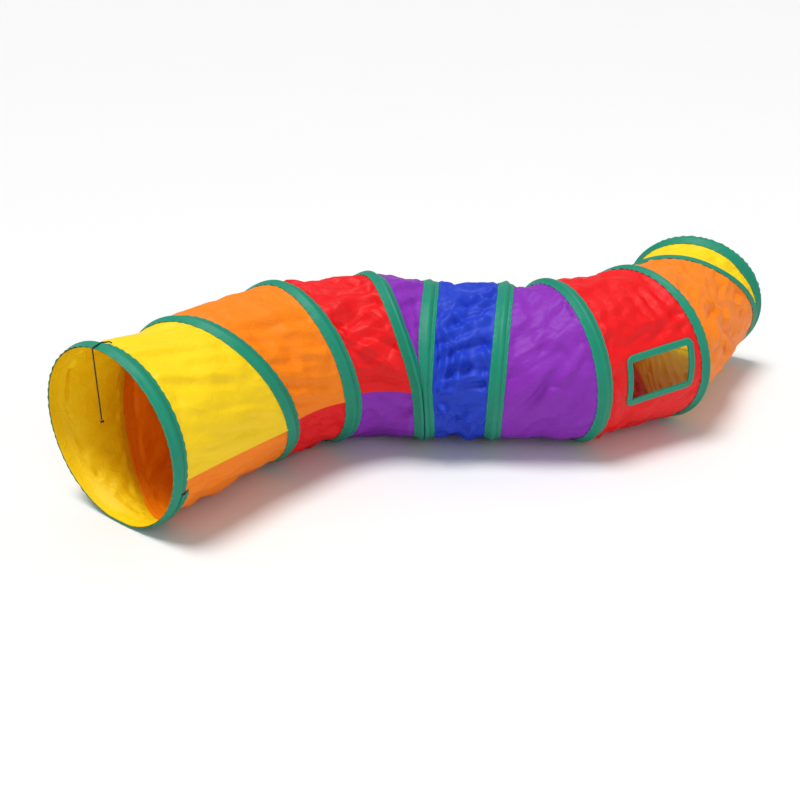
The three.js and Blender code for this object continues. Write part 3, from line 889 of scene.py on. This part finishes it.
def in_window(points, margin):
    """True for points of the near wall inside the window's outline, drawn in by a margin."""
    centre, right, upright = window_axes()
    outward = np.cross(right, upright)
    away = points - centre
    x, y = np.abs(away @ right), np.abs(away @ upright)
    w, h = WINDOW["width"] / 2 - margin, WINDOW["height"] / 2 - margin
    corner = max(WINDOW["corner"] - margin, SMALLEST_CORNER)
    inside = (x < w) & (y < h)
    cut = (x > w - corner) & (y > h - corner) & (np.hypot(x - w + corner, y - h + corner) > corner)
    return inside & ~cut & (np.abs(away @ outward) < NEAR_WALL)


def beyond_window(points):
    """How far points of the near wall lie outside the window's outline, and a great distance elsewhere."""
    centre, right, upright = window_axes()
    away = points - centre
    aside = np.abs(away @ right) - WINDOW["width"] / 2
    over = np.abs(away @ upright) - WINDOW["height"] / 2
    near = np.abs(away @ np.cross(right, upright)) < NEAR_WALL
    return np.where(near, np.maximum(aside, over), 1000.0)


def seamed(height, from_first, past_seam, laps_over):
    """The creases die out at both end seams. The end on top stands higher, beside a dip where it is sewn."""
    height = height * smoothstep(np.abs(past_seam), *SEAM_CALM) * smoothstep(from_first, *SEAM_CALM)
    step = SEAM_STEP * smoothstep(past_seam, -SEAM_OVERLAP, 0)
    dip = SEAM_DIP * np.exp(-((past_seam + 1) ** 2))
    return height + (step - dip) * laps_over


def make_strip(strip, material):
    """One strip of cloth with its casings, the hems that hold the wire, on its inner side."""
    first, last = strip["first"], strip["last"]
    at_front, at_back = first == WIRE_START, first == WIRE_END
    overlap = 0 if at_back else SEAM_OVERLAP / TURN_LENGTH
    steps = int(round((last - first) * STEPS_IN_TURN))
    turn = np.linspace(first, last + overlap, steps + 1)
    along = turn[:, None] * TURN_LENGTH
    span = strip_span(turn)
    width = span["width"][:, None]
    edge = CLOTH_FROM_WIRE / width
    columns = int(round(width.max() / SAMPLE))
    across = edge + (1 - 2 * edge) * np.linspace(0, 1, columns)[None, :]
    height = crease_height(strip["node"], turn[:, None], across, width)
    height = seamed(height, along - first * TURN_LENGTH, along - last * TURN_LENGTH, overlap > 0)
    has_window = strip["node"] == "cloth_red_window"
    if has_window:
        height = height * smoothstep(beyond_window(over_strip(span, across, 0.0)), 0, WINDOW_CALM)
    points = over_strip(span, across, height)
    points[..., 2] = np.maximum(points[..., 2], FLOOR_ROOM)
    from_wire = across * width
    if at_front:
        hem = np.linspace(-HEM, 0, HEM_COLUMNS + 1)[None, :-1]
        points = np.concatenate([beside_wire(front_hoop(turn), hem, 0.0), points], 1)
        from_wire = np.concatenate([np.broadcast_to(hem, (len(turn), HEM_COLUMNS)), from_wire], 1)
    if at_back:
        hem = np.linspace(0, HEM, HEM_COLUMNS + 1)[None, 1:]
        points = np.concatenate([points, beside_wire(back_hoop(turn), hem, 0.0)], 1)
        from_wire = np.concatenate([from_wire, width + hem], 1)
    cloth = grid(points, along, from_wire + WEAVE_START)
    if has_window:
        cloth = without(cloth, in_window(points, CLOTH_IN_BINDING).reshape(-1))
    grids = [cloth, casing(turn, span, True, at_front)]
    if at_back:
        grids.append(casing(turn, span, False, True))
    return piece_from("sewn_" + strip["node"], [turned_over(g) for g in grids], material)


def casing(turn, span, at_earlier, at_mouth):
    """The hem on the inner side of the wire, at the strip's earlier or later edge."""
    if at_mouth:
        wire, away = (front_hoop(turn), -1) if at_earlier else (back_hoop(turn), 1)
    else:
        wire, away = wire_at(turn - 1), -1
    width = span["width"][:, None]
    over = np.linspace(0.15, 1, 5)[None, :] * np.minimum(CASING, width * 0.45) / width
    inner = over_strip(span, over if at_earlier else 1 - over, -CASING_DEPTH)
    beyond = np.linspace(0.2, 1, 4)[None, ::-1] * (HEM if at_mouth else CASING_TUCK) * away
    outer = beside_wire(wire, beyond, -CASING_DEPTH)
    middle = beside_wire(wire, np.zeros((1, 1)), -CASING_DEPTH - 0.5)
    rows = [outer, middle, inner]
    v = [np.broadcast_to(-np.abs(beyond), outer.shape[:2]), np.zeros((len(turn), 1)), over * width]
    if not at_earlier:
        rows, v = [r[:, ::-1] for r in rows[::-1]], [c[:, ::-1] for c in v[::-1]]
    return grid(np.concatenate(rows, 1), turn[:, None] * TURN_LENGTH, np.concatenate(v, 1))


def without(g, gone):
    """A grid without the faces that touch a point in gone."""
    faces, uv, count = [], [], 0
    for face in g["faces"]:
        if not any(gone[index] for index in face):
            faces.append(face)
            uv.append(g["uv"][count : count + len(face)])
        count += len(face)
    return {"points": g["points"], "faces": faces, "uv": np.concatenate(uv)}


# The tape


def tape_rows(wire, turn, edge_before, edge_after, seed):
    """The tape's outer and inner face across the wire. Each edge function gives points for a share of the
    way to that edge and a lift."""
    sizes = bpy.context.scene.cat_tunnel_sizes
    thickness = sizes.tape_thickness / MM
    share = np.linspace(1, 0.14, TAPE_COLUMNS)
    x = turn[:, None] * TURN_LENGTH
    swell = sizes.puckers / MM

    def half(edge, ridge_side, phase):
        ridge = beside_wire(wire, np.full((1, 1), ridge_side * RIDGE_HALF_WIDTH), RIDGE)
        outer_edge = edge(TAPE_GAP + thickness)
        pucker = np.sin(x / PUCKER_PITCH + 4 * noise(x / 25, x * 0 + phase, seed)) * np.exp(-(1 - share) * 7)
        soft = noise(x / 14, share[None, :] * 2 + phase, seed + 1)
        lift = swell * (pucker + 0.8 * soft * np.sin(np.pi * share)[None, :])
        way = share[None, :, None]
        slack = -0.5 * np.sin(np.pi * share)[None, :, None]
        if ridge_side > 0:
            slack = slack - TAPE_FOLD_DEPTH * np.exp(-(((share - TAPE_FOLD_AT) / 0.1) ** 2))[None, :, None]
        line = outer_edge * way + ridge * (1 - way)
        return line + wire["out"][:, None, :] * (lift[..., None] + slack)

    left, right = half(edge_before, -1, 0.3), half(edge_after, 1, 5.3)[:, ::-1]
    crown = beside_wire(wire, np.linspace(-RIDGE_HALF_WIDTH, RIDGE_HALF_WIDTH, 3)[None, :], RIDGE)
    top = np.concatenate([left, crown, right], 1)
    across = np.concatenate([-share, [-0.1, 0, 0.1], share[::-1]]) * TAPE_HALF_WIDTH
    drop = np.where(np.abs(across) > 0.99 * TAPE_HALF_WIDTH, thickness * 0.8, thickness)[None, :, None]
    bottom = (top - wire["out"][:, None, :] * drop)[:, ::-1]
    points = over_floor(np.concatenate([top, bottom], 1), np.full((1, 1), RIDGE))
    v = np.concatenate([across, across[::-1], across[:1]])
    return points, v


def make_tape(name, first, last, material, hoop=None, away=0):
    """A length of tape over the coil, or the ring of tape over a mouth's hoop."""
    steps = int(round((last - first) * STEPS_IN_TURN))
    turn = np.linspace(first, last, steps + 1)
    if hoop:
        turn = turn[:-1]
        wire = hoop(turn)
    else:
        wire = wire_at(turn)
    before = strip_span(turn)
    after = None if hoop else strip_span(turn + 1)
    seed = 400 + int(first * 10)
    trim = 1 + TAPE_TRIM * noise(turn * TURN_LENGTH / 9, turn * 0, seed)

    def on_strip(span, at_later):
        reach = np.minimum(TAPE_HALF_WIDTH * trim, span["width"] / 2 - TAPE_GAP) / span["width"]
        return lambda lift: over_strip(span, (1 - reach if at_later else reach)[:, None], lift)

    def past_mouth(lift):
        return beside_wire(wire, (away * TAPE_HALF_WIDTH * trim)[:, None], lift)

    if hoop is None:
        edges = on_strip(before, True), on_strip(after, False)
    elif away < 0:
        edges = past_mouth, on_strip(before, False)
    else:
        edges = on_strip(before, True), past_mouth
    points, v = tape_rows(wire, turn, *edges, seed)
    u = turn * TURN_LENGTH
    if hoop:
        u = np.append(u, last * TURN_LENGTH)
    made = grid(points, u[:, None], v[None, :], wrap_rows=bool(hoop), wrap_columns=True, caps=not hoop)
    return piece_from(name, [turned_over(made)], material)


# The window's binding


def rounded_outline(inset):
    """Points round the window's outline drawn in by inset, always as many, in the window's own plane."""
    w, h = WINDOW["width"] / 2 - inset, WINDOW["height"] / 2 - inset
    corner = max(WINDOW["corner"] - inset, SMALLEST_CORNER)
    points = []
    for k in range(4):
        sx, sy = ((1, 1), (-1, 1), (-1, -1), (1, -1))[k]
        turned = np.linspace(k * 90, (k + 1) * 90, 9)
        arc = np.stack([np.cos(np.radians(turned)), np.sin(np.radians(turned))], -1) * corner
        points.append(arc + np.array([sx * (w - corner), sy * (h - corner)]))
    out = []
    for k in range(4):
        out.append(points[k])
        a, b = points[k][-1], points[(k + 1) % 4][0]
        out.append(a + (b - a) * np.linspace(0, 1, 26)[1:-1, None])
    return np.concatenate(out)


def window_place(flat_points):
    """The turn and across of points that are given in the window's own plane."""
    centre, right, upright = window_axes()
    turn = np.full(len(flat_points), WINDOW["turn"])
    across = np.full(len(flat_points), WINDOW["across"])
    for _ in range(8):
        here = plane_offset(turn, across, centre, right, upright)
        by_turn = (plane_offset(turn + 1e-3, across, centre, right, upright) - here) / 1e-3
        by_across = (plane_offset(turn, across + 1e-2, centre, right, upright) - here) / 1e-2
        miss = flat_points - here
        size = by_turn[:, 0] * by_across[:, 1] - by_turn[:, 1] * by_across[:, 0]
        turn = turn + (miss[:, 0] * by_across[:, 1] - miss[:, 1] * by_across[:, 0]) / size
        across = across + (by_turn[:, 0] * miss[:, 1] - by_turn[:, 1] * miss[:, 0]) / size
    return turn, across


def plane_offset(turn, across, centre, right, upright):
    away = over_strip(strip_span(turn), across[:, None], 0.0)[:, 0] - centre
    return np.stack([away @ right, away @ upright], -1)


def make_binding(material):
    """A tape folded over the window's cut edge: an outer face, a fold round the edge and an inner face."""
    outer = [(0.0, 0.45), (0.3, 1.15), (2, 1.3), (4, 1.35), (6, 1.4), (8, 1.35), (9.6, 1.1)]
    fold = [(10.2, 0.4), (10.4, -0.5), (10.2, -1.4)]
    inner = [(9.6, -2.1), (8, -2.4), (4, -2.4), (0.3, -2.2), (0.0, -1.5)]
    inside = [(0.6, -1.45), (9.0, -1.5), (9.3, -0.5), (9.0, 0.4), (0.6, 0.4)]
    section = outer + fold + inner + inside
    rows = []
    for inset, lift in section:
        flat = rounded_outline(inset)
        turn, across = window_place(flat)
        count = np.arange(len(flat))
        pucker = 0.2 * np.sin(count * 1.3) * (lift > 1)
        rows.append(over_strip(strip_span(turn), across[:, None], (lift + pucker)[:, None])[:, 0])
    points = np.stack(rows, 1)
    length = np.concatenate([[0], np.cumsum(np.linalg.norm(np.diff(points[:, 0], axis=0), axis=1))])
    length = np.append(length, length[-1] + 3)
    v = np.array([inset for inset, _ in section + section[:1]]) - BINDING_WIDTH / 2
    made = grid(points, length[:, None], v[None, :], wrap_rows=True, wrap_columns=True)
    return piece_from("sewn_window_binding", [made], material)


# The string

STRING_ANGLE = 92.0
STRING_HANGS = 95.0
KNOT = 3.0
# How far back from the wire and how high over the cloth the string's middle lies
STRING_OVER_TAPE = (
    (15, -0.6),
    (12, 1.9),
    (6.5, 3.1),
    (1.5, 4.4),
    (-1.8, 4.4),
    (-6.5, 3.3),
    (-11.1, 2.3),
    (-13.2, 0.8),
    (-13.7, -2),
)


def string_route():
    wire = ring_point(plane_at(np.zeros(1)), np.radians([STRING_ANGLE]))
    over = np.array([beside_wire(wire, np.array([[back]]), lift)[0, 0] for back, lift in STRING_OVER_TAPE])
    hanging = [over[-1] - UP * drop for drop in range(4, int(STRING_HANGS) + 1, 4)]
    return (np.concatenate([over, hanging]) + OFFSET) * MM


def smooth_line(points, per_span=6):
    """A rounded line through the points."""
    padded = np.concatenate([[2 * points[0] - points[1]], points, [2 * points[-1] - points[-2]]])
    line = []
    for i in range(len(points) - 1):
        a, b, c, d = padded[i : i + 4]
        squared, cubed = 2 * a - 5 * b + 4 * c - d, 3 * b - a - 3 * c + d
        for t in np.arange(per_span) / per_span:
            line.append(0.5 * (2 * b + (c - a) * t + squared * t * t + cubed * t**3))
    line.append(points[-1])
    return np.array(line)


def tube_curve(name, line, diameter, material, closed=False):
    curve = bpy.data.curves.new(name, "CURVE")
    curve.dimensions = "3D"
    curve.bevel_depth = diameter / 2
    curve.bevel_resolution = 3
    curve.use_fill_caps = True
    spline = curve.splines.new("POLY")
    spline.points.add(len(line) - 1)
    for point, place in zip(spline.points, line):
        point.co = (*place, 1.0)
    spline.use_cyclic_u = closed
    curve.materials.append(material)
    obj = bpy.data.objects.new(name, curve)
    bpy.context.scene.collection.objects.link(obj)
    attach(obj, "root")
    return obj


# Operators


class CATTUNNEL_OT_studio(Operator):
    """Set up the camera, the pale floor and the soft lights"""

    bl_idname = "cattunnel.studio"
    bl_label = "Set Up Studio"

    def execute(self, context):
        studio = context.scene.cat_tunnel_studio
        camera = bpy.data.objects.new("camera", bpy.data.cameras.new("camera"))
        camera.location = (OFFSET[0] * MM, (OFFSET[1] - CAMERA_BACK) * MM, CAMERA_UP * MM)
        camera.rotation_euler = (math.radians(CAMERA_TILT), 0, 0)
        camera.data.lens = CAMERA_LENS
        camera.data.sensor_width = 36
        camera.data.clip_end = 200
        context.scene.collection.objects.link(camera)
        context.scene.camera = camera

        floor_mesh = bpy.data.meshes.new("floor")
        signs = ((-1, -1), (1, -1), (1, 1), (-1, 1))
        corners = [(x * FLOOR_HALF_SIZE, y * FLOOR_HALF_SIZE, 0) for x, y in signs]
        floor_mesh.from_pydata(corners, [], [(0, 1, 2, 3)])
        floor = bpy.data.objects.new("floor", floor_mesh)
        material, n = bare_material("pale floor")
        place = n.add("ShaderNodeTexCoord").outputs["Object"]
        marks = n.add("ShaderNodeTexNoise", Vector=place, Scale=3.0, Detail=2.0).outputs["Fac"]
        rough = n.add("ShaderNodeMapRange", Value=marks, To_Min=0.5, To_Max=0.6).outputs[0]
        shader = n.add("ShaderNodeBsdfPrincipled", Base_Color=opaque(studio.floor), Roughness=rough)
        shader.inputs["Specular IOR Level"].default_value = 0.2
        n.finish(shader)
        floor_mesh.materials.append(material)
        context.scene.collection.objects.link(floor)

        sun = bpy.data.lights.new("key light", "SUN")
        sun.energy, sun.angle = studio.key_light, math.radians(24)
        key = bpy.data.objects.new("key light", sun)
        key.rotation_euler = (math.radians(5), math.radians(-13), 0)
        context.scene.collection.objects.link(key)
        self.light("fill light", studio.fill_light, size=1.6, place=(1.2, -2.2, 1.4), aim=(0.1, 0, 0.1))
        world = bpy.data.worlds.new("pale room")
        world.use_nodes = True
        world.node_tree.nodes.clear()
        n = Nodes(world.node_tree)
        seen = n.add("ShaderNodeLightPath").outputs["Is Camera Ray"]
        strength = n.math("MAXIMUM", seen, studio.room_light)
        background = n.add("ShaderNodeBackground", Color=(1.0, 1.0, 1.0, 1.0), Strength=strength)
        n.finish(background, "ShaderNodeOutputWorld")
        context.scene.world = world
        context.scene.view_settings.view_transform = "Standard"
        context.scene.view_settings.look = "None"
        return {"FINISHED"}

    @staticmethod
    def light(name, power, size, place, aim):
        lamp = bpy.data.lights.new(name, "AREA")
        lamp.energy, lamp.size = power, size
        obj = bpy.data.objects.new(name, lamp)
        obj.location = place
        direction = np.array(aim) - np.array(place)
        flat = math.hypot(direction[0], direction[1])
        around = math.atan2(direction[0], -direction[1]) + math.pi
        obj.rotation_euler = (math.atan2(flat, -direction[2]), 0, around)
        bpy.context.scene.collection.objects.link(obj)


class CATTUNNEL_OT_string(Operator):
    """Tie the string over the front mouth's tape, with its knot"""

    bl_idname = "cattunnel.string"
    bl_label = "Tie String"

    def execute(self, context):
        sizes, colours = context.scene.cat_tunnel_sizes, context.scene.cat_tunnel_colours
        black = twisted_string("black string", tuple(colours.string))
        line = smooth_line(string_route())
        string = tube_curve("black_string", line, sizes.string_diameter, black)
        end = line[-1]
        t = np.linspace(0, 2 * math.pi, 40, endpoint=False)
        loop = np.stack([np.sin(t) + 2 * np.sin(2 * t), np.cos(t) - 2 * np.cos(2 * t), -np.sin(3 * t)], -1)
        knot = tube_curve(
            "black_string_knot",
            loop * KNOT * MM * 0.23 + end - np.array([0, 0, KNOT * 0.9]) * MM,
            sizes.string_diameter * 0.75,
            black,
            closed=True,
        )
        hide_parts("string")
        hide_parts("string_knot")
        return {"FINISHED"}


class CATTUNNEL_OT_wire(Operator):
    """Give the spring wire and its two hoops their steel"""

    bl_idname = "cattunnel.wire"
    bl_label = "Finish Wire"

    def execute(self, context):
        steel = drawn_steel("spring steel")
        for node in ("front_hoop", "spring_wire", "back_hoop"):
            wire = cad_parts[node]
            wire.data.materials.clear()
            wire.data.materials.append(steel)
        return {"FINISHED"}


class CATTUNNEL_OT_tapes(Operator):
    """Sew the green tape over every turn of the wire and both hoops"""

    bl_idname = "cattunnel.tapes"
    bl_label = "Sew Tapes"

    def execute(self, context):
        colours = context.scene.cat_tunnel_colours
        green = stitched_tape("green tape", tuple(colours.green), tuple(colours.thread), 0.0101, 0.0048)
        joint = 6 / 24
        tapes = [("tape_front_hoop", make_tape("sewn_tape_front_hoop", 0, 1, green, front_hoop, -1))]
        for turn in range(1, 9):
            first = WIRE_START if turn == 1 else turn - 1 + joint
            last = WIRE_END if turn == 8 else turn + joint
            tapes.append((f"tape_turn_{turn}", make_tape(f"sewn_tape_turn_{turn}", first, last, green)))
        ring = WIRE_END + 1 / STEPS_IN_TURN
        back_tape = make_tape("sewn_tape_back_hoop", ring, ring + 1, green, back_hoop, 1)
        tapes.append(("tape_back_hoop", back_tape))
        for node, tape in tapes:
            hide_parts(node)
        return {"FINISHED"}


class CATTUNNEL_OT_cloth(Operator):
    """Sew the ten strips of cloth, with their creases and the hems that hold the wire"""

    bl_idname = "cattunnel.cloth"
    bl_label = "Sew Cloth"

    def execute(self, context):
        colours = context.scene.cat_tunnel_colours
        cloths = {}
        for strip in STRIPS:
            colour = strip["colour"]
            if colour not in cloths:
                cloths[colour] = thin_cloth(f"{colour} cloth", tuple(getattr(colours, colour)))
            obj = make_strip(strip, cloths[colour])
            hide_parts(strip["node"])
        return {"FINISHED"}


class CATTUNNEL_OT_window(Operator):
    """Bind the window's cut edge with green tape"""

    bl_idname = "cattunnel.window"
    bl_label = "Bind Window"

    def execute(self, context):
        colours = context.scene.cat_tunnel_colours
        green = stitched_tape("green binding", tuple(colours.green), tuple(colours.thread), 0.0036, 0.05)
        binding = make_binding(green)
        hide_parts("window_binding")
        return {"FINISHED"}


class CATTUNNEL_PT_panel(Panel):
    """The tunnel's sizes, colours and pieces"""

    bl_idname = "CATTUNNEL_PT_panel"
    bl_label = "Cat Tunnel"
    bl_space_type = "VIEW_3D"
    bl_region_type = "UI"
    bl_category = "Cat Tunnel"

    def draw(self, context):
        scene = context.scene
        for settings in (scene.cat_tunnel_sizes, scene.cat_tunnel_colours, scene.cat_tunnel_studio):
            box = self.layout.box()
            for name in settings.bl_rna.properties.keys():
                if name not in ("rna_type", "name"):
                    box.prop(settings, name)
        for operator in OPERATORS:
            self.layout.operator(operator.bl_idname)


OPERATORS = (
    CATTUNNEL_OT_studio,
    CATTUNNEL_OT_string,
    CATTUNNEL_OT_wire,
    CATTUNNEL_OT_tapes,
    CATTUNNEL_OT_cloth,
    CATTUNNEL_OT_window,
)
SETTINGS = {
    "cat_tunnel_sizes": CatTunnelSizes,
    "cat_tunnel_colours": CatTunnelColours,
    "cat_tunnel_studio": CatTunnelStudio,
}


def register():
    for cls in (*SETTINGS.values(), *OPERATORS, CATTUNNEL_PT_panel):
        bpy.utils.register_class(cls)
    for name, cls in SETTINGS.items():
        setattr(bpy.types.Scene, name, PointerProperty(type=cls))


def unregister():
    for name in SETTINGS:
        delattr(bpy.types.Scene, name)
    for cls in (CATTUNNEL_PT_panel, *reversed(OPERATORS), *reversed(SETTINGS.values())):
        bpy.utils.unregister_class(cls)


def main():
    register()
    bpy.ops.cattunnel.studio()
    bpy.ops.cattunnel.string()
    bpy.ops.cattunnel.wire()
    bpy.ops.cattunnel.tapes()
    bpy.ops.cattunnel.cloth()
    bpy.ops.cattunnel.window()


if __name__ == "__main__":
    main()
